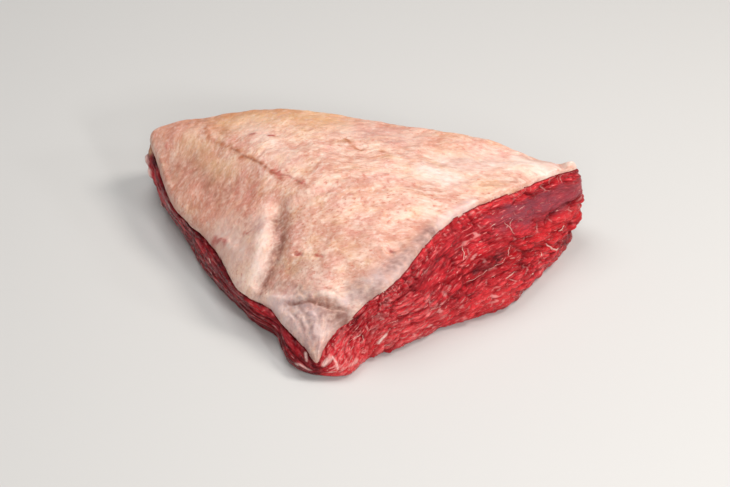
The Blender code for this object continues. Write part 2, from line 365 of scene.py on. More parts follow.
def highlight_strokes(at, lie):
    """Painted highlights: strokes along the fibres, from the thin side round the tip to the middle of the
    cut.

    They are where swells, long along the fibres and narrow across them, stand high. Broader swells thicken
    them in places, and leave them out in others.
    """
    thick = 0.3 * round_girth(at, lie, 14, 7, 66)
    stroke_highlights = smooth_step((round_girth(at, lie, 4.4, 1.5, 64) + thick - 0.2) / 0.4)
    stroke_highlights = stroke_highlights * smooth_step(0.5 + 1.3 * round_girth(at, lie, 14, 9, 67))
    return stroke_highlights * between(at, "thin side, far", "cut face, middle", 22)


def wall_relief(at, drop, top):
    """Relief of the wall in mm along its way out, painted shade in its seams, and how light each place is.

    Long bundles on the cut, round crumbs where it is crumbled, broad bundles on the other sides. The relief
    fades out at the rim and over the skinned patch, and the marks are added to it. Sinews in the seams are
    light, and so are painted highlights: strokes along the fibres, glints on the crumbs and the ridges of the
    bundles near the tip.
    """
    cut = between(at, "tip, cut side", "right corner", CORNER_BLEND)
    lie = grain(at, drop, top)
    on_cut, cut_seam_shade, cut_sinew = layered(at, lie, CUT_BUNDLES, 4)
    crumb, crumb_seam_shade, _ = layered(at + 0.3 * lie, drop, CRUMBS, 14)
    on_side, side_seam_shade, _ = layered(at, lie, SIDE_BUNDLES, 24)
    crumbly = crumbled(at, drop)
    skinned = skinned_patch(at, drop)
    on_cut = ((1 - crumbly) * on_cut + crumbly * crumb) * (1 - 0.65 * skinned)
    cut_seam_shade = ((1 - crumbly) * cut_seam_shade + crumbly * crumb_seam_shade) * (1 - 0.75 * skinned)
    relief = cut * on_cut + (1 - cut) * on_side + 0.8 * round_girth(at, drop, 30, 24, 36)
    seam = np.clip(cut * cut_seam_shade + (1 - cut) * side_seam_shade, 0, 1)
    stroke_highlights = highlight_strokes(at, lie)
    glints = crumbly * smooth_step((round_girth(at, drop, 1.7, 1.2, 65) - 0.36) / 0.3)
    on_face = np.maximum(np.maximum(cut_sinew * (1 - crumbly), stroke_highlights), glints) * (1 - 0.7 * skinned)
    ridge = np.clip(1 - 2 * cut_seam_shade, 0, 1) * smooth_step(0.6 + round_girth(at, lie, 9, 2.5, 68))
    pale_and_highlight = (0.22 + 0.35 * ridge) * between(at, "tip, cut side", "cut face, start", 25)
    light = cut * np.maximum(on_face, pale_and_highlight) + 0.7 * (1 - cut) * stroke_highlights
    fade = smooth_step((drop + 0.7) / 1.8) * np.minimum(1, 0.4 + top / 60)
    return relief * fade + relief_over(at, drop, WALL_MARKS), seam, light


def skinned_patch(at, drop):
    """The smooth maroon patch under a thin skin, below the fat at the right of the cut face."""
    edge = uneven(at, drop, PATCH_EDGE)
    length = smooth_step((at - PATCH_START + 2 * edge - 0.5 * drop) / 26)
    length = length * (1 - smooth_step((at - PATCH_END + edge) / 8))
    height = smooth_step((drop - PATCH_TOP + 0.7 * edge) / 4)
    height = height * (1 - smooth_step((drop - PATCH_BOTTOM + edge) / 7))
    return length * height * (0.85 + 0.3 * round_girth(at, drop, 6, 2.4, 43))


def wall(at, down):
    """The wall of the lean: from the rim, at down = 0, to the rounded foot, at down = 1 to 2.

    The plan goes from rim to foot fast at first, and swells between them. Past down = 1 it turns in
    through the quarter circle of the foot. The relief then stands out square to that smooth wall.
    """
    rim, foot, belly, outward = rim_and_foot(at)
    top = rim[..., 2] - LAYER_GAP
    radius = np.minimum(FOOT_RADIUS, FOOT_SHARE * top)
    fall = np.clip(down, 0, 1)
    turn = np.pi / 2 * np.clip(down - 1, 0, 1)
    flare = 1 - (1 - fall) ** WALL_FULLNESS
    swell = belly * np.sin(np.pi * fall**BELLY_LOW) ** BELLY_FULLNESS - radius * (1 - np.cos(turn))
    height = top - (top - radius) * fall - radius * np.sin(turn)
    plan = rim[..., :2] + flare[..., None] * (foot - rim[..., :2]) + swell[..., None] * outward
    smooth = np.dstack([plan, height])
    square = np.cross(np.gradient(smooth, axis=0), np.roll(smooth, -1, axis=1) - np.roll(smooth, 1, axis=1))
    square /= np.linalg.norm(square, axis=2)[..., None]
    drop = fall * top + radius * turn
    relief, seam, light = wall_relief(at, drop, top)
    relief = relief * (1 - smooth_step(down - 1))
    points = smooth + relief[..., None] * square
    points[..., 2] = np.maximum(points[..., 2], 0)
    return points, square, seam, light, drop


def bands(rows):
    """Faces of four corners between each closed row of vertex numbers and the next."""
    ahead = np.roll(rows, -1, axis=1)
    return np.stack([rows[:-1], rows[1:], ahead[1:], ahead[:-1]], axis=2).reshape(-1, 4)


def pole_fan(pole, here, beside):
    """Triangles from a pole to each vertex of a ring and the one beside it."""
    return np.stack([np.full(len(here), pole), here, beside], axis=1)


def closed_skin(name, rings, first_pole, last_pole):
    """A mesh through these rings, with a fan to a pole at each end, smooth shaded and facing out."""
    count, around, _ = rings.shape
    points = np.concatenate([rings.reshape(-1, 3), [first_pole, last_pole]])
    rows = np.arange(count * around).reshape(count, around)
    ahead = np.roll(rows, -1, axis=1)
    fans = [pole_fan(rows.size, rows[0], ahead[0]), pole_fan(rows.size + 1, ahead[-1], rows[-1])]
    return skin_mesh(name, points, bands(rows), np.concatenate(fans))


def skin_mesh(name, points, quads, triangles):
    """A mesh from points in mm, in the stations' own datum, with these quads and triangles."""
    points = points + (*CENTRING, 0)
    mesh = bpy.data.meshes.new(name)
    loops = np.concatenate([quads.ravel(), triangles.ravel()]).astype(np.int32)
    sizes = np.concatenate([np.full(len(quads), 4), np.full(len(triangles), 3)])
    mesh.vertices.add(len(points))
    mesh.vertices.foreach_set("co", (points * MM).astype(np.float32).ravel())
    mesh.loops.add(len(loops))
    mesh.loops.foreach_set("vertex_index", loops)
    mesh.polygons.add(len(sizes))
    mesh.polygons.foreach_set("loop_start", (np.cumsum(sizes) - sizes).astype(np.int32))
    mesh.update(calc_edges=True)
    mesh.shade_smooth()
    return mesh


def paint(mesh, name, amount):
    """Stores one amount, or three coordinates, for each vertex under this name."""
    amount = np.asarray(amount, np.float32)
    kind, field = ("FLOAT", "value") if amount.ndim == 1 else ("FLOAT_VECTOR", "vector")
    mesh.attributes.new(name, kind, "POINT").data.foreach_set(field, amount.ravel())


def place_piece(name, mesh, material):
    """Puts a mesh, whose vertices are already in place, into the scene on the part's one body."""
    mesh.materials.append(material)
    piece = bpy.data.objects.new(name, mesh)
    bpy.context.scene.collection.objects.link(piece)
    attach(piece, "root")
    return piece


CUT_COLUMNS = 410
SIDE_COLUMNS = 340
WALL_ROWS = 104
FOOT_ROWS = 8
CUT_END = 206
BED_RINGS = np.array([0.18, 0.45, 0.7, 0.86, 0.95, 1])
UNDERSIDE_RINGS = np.array([0.985, 0.95, 0.88, 0.74, 0.5, 0.22])
UNDERSIDE_HOLLOW = 0.8
UNDERSIDE_LIE = 80
FILM_STREAKS = ((1, 22, 3.2, 44), (0.5, 8, 1.4, 45))

lean_at = np.concatenate([
    np.linspace(0, CUT_END, CUT_COLUMNS, endpoint=False),
    np.linspace(CUT_END, GIRTH, SIDE_COLUMNS, endpoint=False),
])
down = np.append(np.linspace(0, 1, WALL_ROWS + 1)[1:], 1 + np.linspace(0, 1, FOOT_ROWS + 1)[1:])
gap = (0, 0, LAYER_GAP)
bed = under_fat(*np.broadcast_arrays(lean_at, BED_RINGS[:, None])) - gap
under_pole = under_fat(np.zeros((1, 1)), np.zeros((1, 1)))[0, 0]
sides, wall_out, seam, light, drop = wall(*np.broadcast_arrays(lean_at, down[:, None]))
underside = AXIS + UNDERSIDE_RINGS[:, None, None] * (sides[-1, :, :2] - AXIS)
hollow = UNDERSIDE_HOLLOW * np.clip(swells(underside[..., 0] / 22, underside[..., 1] / 9, 24), 0, 1)
underside = np.dstack([underside, hollow])
rings = np.concatenate([bed, sides, underside])
lean_mesh = closed_skin("lean_muscle", rings, under_pole - gap, (*AXIS, 0))


def over_skin(wall_amount, inner, outer):
    """An amount for every vertex of the lean: this on its wall, and plain values on its bed and underside."""
    each = wall_amount.shape[2:]
    on_bed = np.full((len(BED_RINGS) * len(lean_at), *each), inner)
    below = np.full((len(UNDERSIDE_RINGS) * len(lean_at) + 2, *each), outer)
    return np.concatenate([on_bed, wall_amount.reshape(-1, *each), below])


def marked(x, y, rows):
    """The strongest of rows (strength, half width, path) at each place."""
    return np.max([strength * beside_path(x, y, path, width) for strength, width, path in rows], axis=0)


# Colours of the wall: strength, half width and path (mm along the girth, mm down the wall)
# Brighter red, partly the muscle's own and partly painted light where the wall lies in shade, as at the nose
BRIGHT_AND_LIT_MARKS = (
    (1, 8, ((86, 47), (103, 49), (120, 52))),
    (0.9, 6, ((150, 31), (165, 27), (190, 27))),
    (0.6, 5, ((150, 42), (168, 36))),
    (0.8, 2, ((110, 1.5), (130, 1.5), (150, 2), (170, 1.5), (180, 2))),
    (0.6, 2.2, ((84, 2), (96, 2.5), (108, 2))),
    (0.6, 7, ((40, 26), (60, 34), (80, 44))),
    (0.6, 5, ((18, 14), (30, 24), (46, 33))),
    (1, 4.5, ((2, 12), (8, 14), (16, 20))),
    (0.8, 8, ((5, 12), (20, 20), (34, 27))),
    (0.45, 2, ((598, 4), (608, 5), (614, 6))),
    (0.25, 2, ((620, 4), (635, 4), (646, 5))),
    (0.7, 4, ((472, 12), (486, 14), (500, 13))),
    (0.9, 1.5, ((519, 11), (525, 12))),
    (0.7, 1.8, ((539, 8.5), (549, 9.5))),
    (0.22, 5, ((176, 10), (198, 12))),
)
VIVID_MARKS = (
    (1, 9, ((98, 27), (125, 29), (150, 32), (190, 30))),
)
# Painted shade: under the edge of the fat, in the creases and grooves, in the crumbly band and on the
# undercut of the right corner
PAINTED_SHADE_MARKS = (
    (0.8, 5, ((178, 50), (190, 46), (200, 44))),
    (0.4, 2, ((91, 31), (101, 33), (112, 33), (121, 31))),
    (0.5, 1.5, ((160, 23), (168, 20), (177, 19), (190, 20))),
    (1, 2.6, ((446, 2), (470, 3), (510, 3), (545, 2))),
    (0.9, 1.8, ((545, 1.5), (600, 1.5), (640, 1.2))),
    (0.45, 2, ((66, 3), (80, 3))),
    (0.15, 2, ((80, 3), (96, 3.5), (108, 2))),
    (0.32, 4, ((60, 9), (84, 10), (100, 12))),
    (0.75, 4, ((100, 28), (110, 29), (120, 27))),
    (0.5, 2.2, ((27, 3), (33, 3.5))),
)
FLECK_MARKS = (
    (0.65, 1.5, ((2.5, 3), (7.5, 4))),
    (0.8, 0.7, ((8.5, 4.5), (8, 7), (6.5, 10))),
    (0.9, 1.3, ((34, 24.8), (38.5, 24))),
    (0.6, 1, ((649.5, 1.5), (652.5, 3.5))),
    (0.5, 0.9, ((648, 11), (651, 8), (656, 7))),
    (0.5, 0.6, ((6, 12), (11, 13))),
    (0.5, 1.6, ((12, 14), (17, 17))),
    (1, 1.9, ((463, 12), (467, 12))),
    (1, 1.6, ((470, 14), (473, 15))),
    (0.8, 1, ((489, 22), (491, 23))),
)
RIND_MARKS = (
    (1, 2.6, ((450, 5), (465, 5.5))),
)

off_cut = 1 - between(lean_at, "tip, cut side", "right corner", CORNER_BLEND)
streak = uneven(lean_at, drop, FILM_STREAKS)
film = off_cut * smooth_step((streak - 0.05) / 0.5) * (0.3 + 0.7 * smooth_step(drop / 8))
silver = off_cut * smooth_step((round_girth(lean_at, drop, 40, 11, 46) + 0.4 * streak - 0.45) / 0.4)
bright, vivid, dark, fleck, rind = (
    marked(lean_at, drop, rows) for rows in (BRIGHT_AND_LIT_MARKS, VIVID_MARKS, PAINTED_SHADE_MARKS, FLECK_MARKS, RIND_MARKS)
)
# Each mask: its amount on the wall, on the bed under the fat and on the underside
for mask_name, *amounts in (
    # Painted shade in the seams between the bundles, and over the underside
    ("seam", seam * (1 - 0.5 * bright), 0, 0.4),
    # Light sinews in the seams, and painted highlights: strokes, glints on the crumbs and the ridges near the
    # tip
    ("sinew", light * (1 - dark), 0, 0),
    ("fleck", np.maximum(fleck, 0.34 * silver), 0, 0),
    ("skinned", skinned_patch(lean_at, drop), 0, 0),
    ("film", film, 0, 0.5),
    ("bright", bright, 0, 0),
    ("vivid", vivid, 0, 0),
    # Painted shade: the dark marks, the sides away from the cut, the bed under the fat and the underside
    ("dark", np.maximum(dark, 0.75 * off_cut * (1 - film) * (1 - bright)), 0.2, 0.3),
    ("rind", rind, 0, 0),
):
    paint(lean_mesh, mask_name, over_skin(*amounts))

# The noises read a circle as long as the girth, where they meet again, and the way down the wall. Under the
# lean they read the plan.
turn = 2 * np.pi * lean_at / GIRTH
radius = GIRTH / (2 * np.pi)
lie = np.broadcast_arrays(radius * np.cos(turn), radius * np.sin(turn), drop * (1 - 0.5 * off_cut))
lie_points = over_skin(np.dstack(lie), 0, 0)
bottom = underside[..., :2].reshape(-1, 2)
lie_points[-2 - len(bottom):-2] = np.column_stack([bottom, np.full(len(bottom), UNDERSIDE_LIE)])
lie_points[-1] = (*AXIS, UNDERSIDE_LIE)
paint(lean_mesh, "lie", lie_points)


def linear(code):
    """The linear red, green, blue and alpha of an sRGB hex colour."""
    srgb = np.array([int(code[i:i + 2], 16) for i in (1, 3, 5)]) / 255
    return (*np.where(srgb <= 0.04045, srgb / 12.92, ((srgb + 0.055) / 1.055) ** 2.4), 1)


def add(tree, kind, inputs, **settings):
    """Adds a node. Settings are its properties, and each input is given a value or a link from a socket."""
    node = tree.nodes.new(kind)
    for name, value in settings.items():
        setattr(node, name, value)
    for name, value in inputs.items():
        if isinstance(value, bpy.types.NodeSocket):
            tree.links.new(value, node.inputs[name])
        else:
            node.inputs[name].default_value = value
    return node


# Nearly all of a noise lies between these two
NOISE_LOW = 0.35
NOISE_HIGH = 0.65


def moist_tissue(name, way_name, ground, noises, tints, mottling, sheen, relief, settings):
    """A material of raw tissue: tints laid over a ground colour, with relief, on one Principled surface.

    A noise has a name, its size in mm along each coordinate of the mesh's `way_name`, and its detail. A
    tint follows a noise or a mask of the mesh, comes in over a range of it, and has a colour and a strength.
    A mask is mottled: it is multiplied by 1 + mottling (first noise - 1/2). The roughness goes from one end
    of `sheen` to the other with the second noise, and each row of `relief` is a noise and its height in mm.
    """
    material = bpy.data.materials.new(name)
    material.use_nodes = True
    tree = material.node_tree
    tree.nodes.clear()
    way = add(tree, "ShaderNodeAttribute", {}, attribute_name=way_name).outputs["Vector"]
    amounts = {}
    for noise_name, sizes, detail in noises:
        packed = tuple(1 / size for size in sizes)
        scaled = add(tree, "ShaderNodeVectorMath", {0: way, 1: packed}, operation="MULTIPLY")
        noise = add(tree, "ShaderNodeTexNoise", {"Vector": scaled.outputs[0], "Scale": 1, "Detail": detail})
        amounts[noise_name] = noise.outputs[0]
    first_noise = {0: amounts[noises[0][0]], 1: mottling, 2: 1 - mottling / 2}
    mottle = add(tree, "ShaderNodeMath", first_noise, operation="MULTIPLY_ADD")
    colour = linear(ground)
    for source, first, last, tint, strength in tints:
        if source not in amounts:
            mask = add(tree, "ShaderNodeAttribute", {}, attribute_name=source).outputs["Fac"]
            mottled = add(tree, "ShaderNodeMath", {0: mask, 1: mottle.outputs[0]}, operation="MULTIPLY")
            amounts[source] = mottled.outputs[0]
        coming = {"Value": amounts[source], "From Min": first, "From Max": last, "To Max": strength}
        factor = add(tree, "ShaderNodeMapRange", coming).outputs[0]
        laid = add(tree, "ShaderNodeMix", {0: factor, 6: colour, 7: linear(tint)}, data_type="RGBA")
        colour = laid.outputs[2]
    roughness = add(tree, "ShaderNodeMapRange", {
        "Value": amounts[noises[1][0]], "From Min": NOISE_LOW, "From Max": NOISE_HIGH,
        "To Min": sheen[0], "To Max": sheen[1],
    })
    inputs = {"Base Color": colour, "Roughness": roughness.outputs[0], **settings}
    under = {}
    for noise_name, height in relief:
        bump = add(tree, "ShaderNodeBump", {"Height": amounts[noise_name], "Distance": height * MM, **under})
        under = {"Normal": bump.outputs["Normal"]}
    inputs["Normal"] = inputs["Coat Normal"] = under["Normal"]
    surface = add(tree, "ShaderNodeBsdfPrincipled", inputs, subsurface_method="RANDOM_WALK")
    add(tree, "ShaderNodeOutputMaterial", {"Surface": surface.outputs["BSDF"]})
    return material


# Raw beef: wet muscle, a scattering red body under a thin film of juice, so it is glossy and deep in colour.
# The fibres are drawn 0.85 mm wide on the cut and twice that on the sides, coarser than they are, to show.
beef = moist_tissue(
    "Raw beef", "lie", "#AA121E",
    noises=(
        ("fibres_and_glints", (6.2, 6.2, 0.85), 5),
        ("patches", (14, 14, 5), 3),
        ("grit_and_glints", (1.6, 1.6, 1), 2),
    ),
    tints=(
        ("patches", 0.38, 0.62, "#E02E38", 1),
        ("fibres_and_glints", 0.52, 0.66, "#7C0A14", 0.75),
        # Painted glints: the palest streaks along the fibres, and the grit
        ("fibres_and_glints", 0.46, 0.36, "#E45054", 0.65),
        ("fibres_and_glints", 0.37, 0.3, "#FCAAA4", 0.56),
        ("grit_and_glints", 0.63, 0.72, "#F09490", 0.5),
        ("skinned", 0, 0.9, "#88404C", 0.9),
        ("film", 0, 1, "#6C1828", 0.85),
        # Partly painted light: a brighter red where the wall lies in shade
        ("bright", 0, 1, "#F04044", 0.65),
        ("vivid", 0, 1, "#C80C14", 0.5),
        # Painted shade: in the seams, then under the fat, in the creases and over the sides away from the cut
        ("seam", 0, 1, "#6A060E", 0.8),
        ("dark", 0, 1, "#40060E", 0.92),
        # Light sinews, and painted highlights on the strokes, the crumbs and the ridges near the tip
        ("sinew", 0.25, 1, "#F2AAA4", 0.58),
        ("fleck", 0.2, 0.9, "#F4D0C6", 0.9),
        ("rind", 0, 1, "#C89878", 0.9),
    ),
    mottling=2, sheen=(0.16, 0.34), relief=(("fibres_and_glints", 1), ("grit_and_glints", 0.7)),
    settings={
        "IOR": 1.36, "Specular IOR Level": 0.22, "Specular Tint": (1, 0.5, 0.5, 1), "Subsurface Weight": 0.12,
        "Subsurface Radius": (1, 0.25, 0.2), "Subsurface Scale": 0.0015, "Coat Weight": 0.4,
        "Coat Roughness": 0.05, "Coat IOR": 1.33,
    },
)
lean = place_piece("lean_muscle", lean_mesh, beef)
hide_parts("lean")

# Fat cap
# The layer of hard back fat that grows on the muscle, with its thin skin left on: cream to pink, streaked
# the way that the skin was pulled, with veins, a valley, and a fold above the bare lilac tongue.
TIP = (-26, -86)

# Creases and small forms of the face: what, mm up, half width, path (x, y) over the plan
CREASES = (
    ("crevice of the fold", -1.4, 0.6, ((-25.5, -60.3), (-22, -62), (-16, -63), (-9.8, -64.5))),
    ("lobe of the fold", 1.3, 2.4, ((-23.5, -57), (-19, -58.6), (-13.5, -61))),
    ("line over the lobe", -0.35, 0.7, ((-21, -54.3), (-17.5, -55.8), (-12.5, -59))),
    ("lip across the tongue", 1, 1.2, ((-61, -46.3), (-56, -47.8), (-44.5, -51.8), (-34, -55), (-30, -56))),
    ("crack under the lip", -0.5, 0.6, ((-42, -54.6), (-38.4, -56), (-31, -57.4), (-27.5, -59.3))),
    ("first groove of the tongue", -0.15, 0.7, ((-42, -57), (-37, -64), (-33, -71))),
    ("second groove of the tongue", -0.15, 0.7, ((-37, -57), (-32, -65), (-29, -73))),
    ("third groove of the tongue", -0.1, 0.7, ((-26, -63), (-25, -70), (-25.5, -78))),
    ("left slit", -0.9, 0.7, ((-39, -32.5), (-35, -34))),
    ("right slit", -0.7, 0.6, ((-28, -37), (-23, -38))),
    ("pit", -0.8, 1.3, ((11.8, -39.8), (14.8, -41.3))),
    ("lip of the pit", 0.8, 1.4, ((8.8, -38.3), (10.3, -41.3))),
    ("upper flap of the thin edge", 1.3, 2, ((-83, -6), (-79, -10))),
    ("lower flap of the thin edge", 1.3, 2, ((-79, -13), (-75, -16))),
    ("cleft between the flaps", -1.3, 0.9, ((-84, -9.5), (-78, -12))),
    ("small vein", -0.3, 1, ((-12, 51), (-7, 46), (-2, 38))),
    ("notch at the right corner", -3.2, 2.2, ((112.5, 40), (115, 32))),
    ("swell of the long edge", 2, 8, ((72, 50), (90, 44))),
)
SLOPE_MEAN = 0.36
SLOPE_CHANGE = 0.42
SLOPE_PLACE = -40
SLOPE_LENGTH = 45
PACKING = 0.42
STREAK_WANDER = ((4, 34, 26, 51), (0.6, 9, 7, 52))
LUMPS = ((0.5, 17, 15, 55), (0.45, 9, 7, 56), (0.25, 4, 3, 57))


def over_plan(x, y, rows):
    """Swells over the plan summed over rows: height, length along x, length along y, all in mm, and seed."""
    return sum(height * swells(x / long, y / short, seed) for height, long, short, seed in rows)


def along_streaks(x, y):
    """Coordinates in mm along and across the streaks of the skin.

    A streak climbs over the plan by SLOPE_MEAN - SLOPE_CHANGE tanh((x - place) / length): steeply on the
    left and hardly on the right. Across it counts y less the sum of that climb, with a slow wander. Along it
    counts x, packed closer on the left, where the wrinkles are short: x - PACKING sqrt((x - place)^2 +
    length^2).
    """
    far = (x - SLOPE_PLACE) / SLOPE_LENGTH
    climb = SLOPE_MEAN * x - SLOPE_CHANGE * SLOPE_LENGTH * np.log(np.cosh(far))
    run = x - PACKING * SLOPE_LENGTH * np.hypot(far, 1) + 0.6 * swells(x / 8, y / 6, 50)
    return run, y - climb + over_plan(x, y, STREAK_WANDER)


def bare(x, y):
    """1 on the tongue of fat below the fold, where its thin lilac skin is drawn towards the tip."""
    return np.minimum(1, 1.3 * beside_path(x, y, ((-38, -58), (-30, -66), (-27, -78)), 9))


def fanned(x, y):
    """Wrinkles that run out from the tip like a fan: noise over the angle and the distance from it."""
    angle = np.arctan2(x - TIP[0], y - TIP[1]) + 0.12 * swells(x / 7, y / 6, 68)
    away = np.hypot(x - TIP[0], y - TIP[1])
    broad, fine = swells(angle * 9, away / 9, 59), swells(angle * 20, away / 4, 60)
    return broad + 0.7 * fine + 0.8 * swells(x / 2.6, y / 2, 69)


def fat_top(at, ring):
    """The face of the fat: the crown, an edge rounded over the fat's thickness, relief, creases and skin."""
    plan, height, inward = crown(at, ring)
    x, y = plan[..., 0], plan[..., 1]
    edge = FAT_EDGE * np.sqrt(1 - (1 - np.clip(inward / FAT_EDGE, 0, 1)) ** 2)
    relief = relief_over(x, y, FAT_RELIEF) * smooth_step(inward / RELIEF_MARGIN)
    fine = relief_over(x, y, CREASES) * smooth_step(inward / 3)
    run, across = along_streaks(x, y)
    loose = 0.55 + 0.25 * (1 - smooth_step((x + 50) / 60)) + 0.5 * swells(x / 22, y / 18, 58)
    wrinkle = 0.5 - np.abs(swells(run / 6, across / 2.6, 53))
    wrinkle = 0.16 * wrinkle + 0.08 * swells(run / 3.4, across / 1.9, 54)
    taut = 1 - 0.8 * beside_path(x, y, VALLEY, 9)
    skin = taut * (np.clip(loose, 0.1, 1.2) * wrinkle + over_plan(x, y, LUMPS))
    skin = (skin + 0.36 * bare(x, y) * fanned(x, y)) * smooth_step(inward / 2)
    return np.stack([x, y, height + edge + relief + fine + skin], axis=-1)


TOP_HALF = 146
RIM_CROWDING = 1.15
LAST_RINGS = np.array([0.97, 0.9, 0.7, 0.35])
HEM_DOWN = 1.4
HEM_SHARES = (0.7, 1.1)
HEM_FRAY = ((0.7, 9, 1, 37), (0.2, 2.6, 1, 38))

# The face is a square grid, so that its cells are even and meet in no pole. Each square round its middle is a
# ring of the crown, and `turned` is how far round that ring a vertex lies.
steps = np.arange(-TOP_HALF, TOP_HALF + 1)
i, j = np.meshgrid(steps, steps, indexing="ij")
square = np.maximum(np.abs(i), np.abs(j))
side = np.select(
    [(i == square) & (j < square), (j == square) & (i > -square), (i == -square) & (j > -square)],
    [square + j, 3 * square - i, 5 * square - j], 7 * square + i,
)
turned = np.where(square > 0, side / np.maximum(8 * square, 1), 0) % 1
face = fat_top(GIRTH * turned, 1 - (1 - square / TOP_HALF) ** RIM_CROWDING)
number = np.arange(square.size).reshape(square.shape)
top_quads = np.stack([number[:-1, :-1], number[1:, :-1], number[1:, 1:], number[:-1, 1:]], axis=2)
on_rim = square == TOP_HALF
rim_order = np.argsort(turned[on_rim])
rim_at = GIRTH * turned[on_rim][rim_order]

# A frayed hem hangs from the rim over the lean. Its two rings make the part that shows face outwards.
rim = rim_and_foot(rim_at)[0]
hem_down = HEM_DOWN * (1 + np.clip(uneven(rim_at, 0, HEM_FRAY), -0.7, 0.7))
hem = [np.column_stack([rim[:, :2], rim[:, 2] - share * hem_down]) for share in HEM_SHARES]
under = np.concatenate([hem, under_fat(*np.broadcast_arrays(rim_at, LAST_RINGS[:, None]))])
under_rows = square.size + np.arange(under[..., 0].size).reshape(under.shape[:2])
rows = np.concatenate([[number[on_rim][rim_order]], under_rows])
under_fan = pole_fan(square.size + under_rows.size, np.roll(rows[-1], -1), rows[-1])
fat_points = np.concatenate([face.reshape(-1, 3), under.reshape(-1, 3), [under_pole]])
fat_quads = np.concatenate([top_quads.reshape(-1, 4), bands(rows)])
fat_mesh = skin_mesh("fat_cap", fat_points, fat_quads, under_fan)

# Marks on the fat: strength, half width and path over the plan
BLOOD_MARKS = (
    (0.9, 0.8, ((-54, 26), (-49, 22), (-44, 18))),
    (0.7, 0.8, ((-50, 23), (-46, 23), (-43, 20))),
    (0.7, 0.8, ((-52, 24), (-47, 17), (-42, 16))),
    (0.45, 3, ((-52, 24), (-44, 18))),
    (1, 1, ((-35.5, 10), (-34.5, 9.5))),
    (0.9, 1, ((-119, 70), (-118, 69))),
    (0.25, 7, ((-72, 22), (-64, 5), (-60, -8))),
    (0.8, 0.8, ((-68, -10), (-66.5, -12), (-65, -12))),
    (1, 1.3, ((-67.5, 60), (-65.5, 59.6))),
    (1, 1, ((-56.6, 56.3), (-53, 56))),
    (0.4, 6, ((-3, 62), (9, 54), (20, 46))),
    (0.35, 5, ((58, 46), (70, 45), (82, 42))),
    (0.9, 0.9, ((-39, -32.5), (-35, -34))),
    (0.9, 0.7, ((-28, -37), (-23, -38))),
    (1, 1.5, ((-87.5, -2), (-83.5, -5), (-79.5, -9.5))),
    (0.45, 2.5, ((-96, 91), (-80, 92))),
    (0.45, 1.1, ((12.6, -38.2), (14.5, -39.2))),
)
OCHRE_MARKS = (
    (0.9, 1.9, ((-94.5, 73.3), (-92.3, 64.2))),
    (0.8, 2, ((-92.3, 64.2), (-87, 58.5), (-82.3, 53.6), (-78, 50.5))),
    (1, 2.1, ((-78, 50.5), (-74, 46.5), (-72.1, 43.8))),
    (1, 1.5, ((-72.1, 43.8), (-66.5, 39.5), (-61.7, 34.4))),
    (1, 1.3, ((-61.7, 34.4), (-57, 28.5), (-52.2, 22.6), (-48, 20))),
    (0.45, 5, ((-86, 86), (-66, 88), (-44, 84))),
    (0.5, 1.5, ((-52, 24), (-45, 15), (-38, 11))),
    (1, 1.5, ((-12, 49.5), (-10, 46.5))),
    (0.8, 1.2, ((-10, 46.5), (-6, 40.5), (-1, 38.3))),
    (0.9, 1, ((9, 37), (11, 36.5))),
    (0.5, 4, ((-103, 88), (-92, 77), (-80, 64))),
    (0.3, 10, ((-36, -10), (-20, -22), (-5, -32))),
    (1, 1.6, ((-31, -57), (-28.5, -58), (-26.2, -59.6))),
    (0.5, 0.9, ((-36.5, -73), (-32, -78), (-28.5, -81.5))),
    (0.5, 1.6, ((-24.5, -59), (-20.5, -60.5), (-16.5, -61.5))),
)
# Painted shade in the valley, the crevice, crack and lip of the fold, the dips and the pit; a few dark spots
# and the core of a vein are the fat's own colour
SHADE_AND_DARK_SPOT_MARKS = (
    (0.3, 9, ((-113, 56), (-94, 38), (-78, 22))),
    (0.4, 6, ((-94, 42), (-86, 20))),
    (0.75, 4.2, ((-49, -8), (-48.4, -14), (-48, -22), (-50.5, -30), (-53.8, -37), (-57, -43))),
    (1, 2.4, ((-47, -12.4), (-46.4, -17.2), (-46, -21.3), (-49.3, -31.3), (-53.8, -38.2), (-56.5, -44.5))),
    (1, 1.4, ((-46.5, -16), (-45.9, -19.6), (-46.2, -24))),
    (1, 0.9, ((-25.5, -60.2), (-22, -61.9), (-16, -62.9), (-10.5, -64.2))),
    (0.5, 1.9, ((-24.5, -59.7), (-20.5, -61), (-16.5, -62))),
    (0.85, 0.7, ((-42, -54.5), (-38.4, -55.9), (-35, -56.7), (-31, -57.3), (-27, -59.6))),
    (0.4, 0.7, ((-21, -54.3), (-17.5, -55.8), (-12.5, -59))),
    (0.5, 0.6, ((-78, 50.5), (-72.1, 43.8), (-61.7, 34.4), (-52.2, 22.6), (-42.7, 17.6), (-35.1, 9.3))),
    (1, 1, ((-67.4, 60), (-65.6, 59.6))),
    (0.8, 0.7, ((-56, 56), (-53.5, 55.8))),
    (0.4, 1.5, ((-55, -45), (-48, -43.5), (-41, -46), (-35, -50))),
    (0.25, 8, ((-42, -38), (-24, -46))),
    (0.7, 5, ((12, -50), (24, -42), (36, -28))),
    (1, 0.9, ((14, -39.2), (16.4, -40.3))),
    (0.25, 5, ((-68, 2), (-61, -12))),
    (0.95, 4.2, ((-20.5, -65.3), (-15.5, -66.8), (-11.5, -68))),
    (0.6, 3, ((1, -61), (6, -60), (9, -58))),
    (0.45, 2, ((-9.5, -54), (-7, -60))),
    (0.5, 4, ((-4, -57), (1, -61))),
    (0.4, 0.9, ((-42, -57), (-35, -65), (-31, -74))),
    (0.4, 0.9, ((-37, -56), (-31, -65), (-27.5, -75))),
)
SALLOW_MARKS = (
    (0.6, 8, ((-104, 66), (-94, 54))),
    (1, 14, ((-80, 80), (-50, 80), (-20, 74))),
    (0.6, 7, ((-92, 48), (-80, 36))),
)
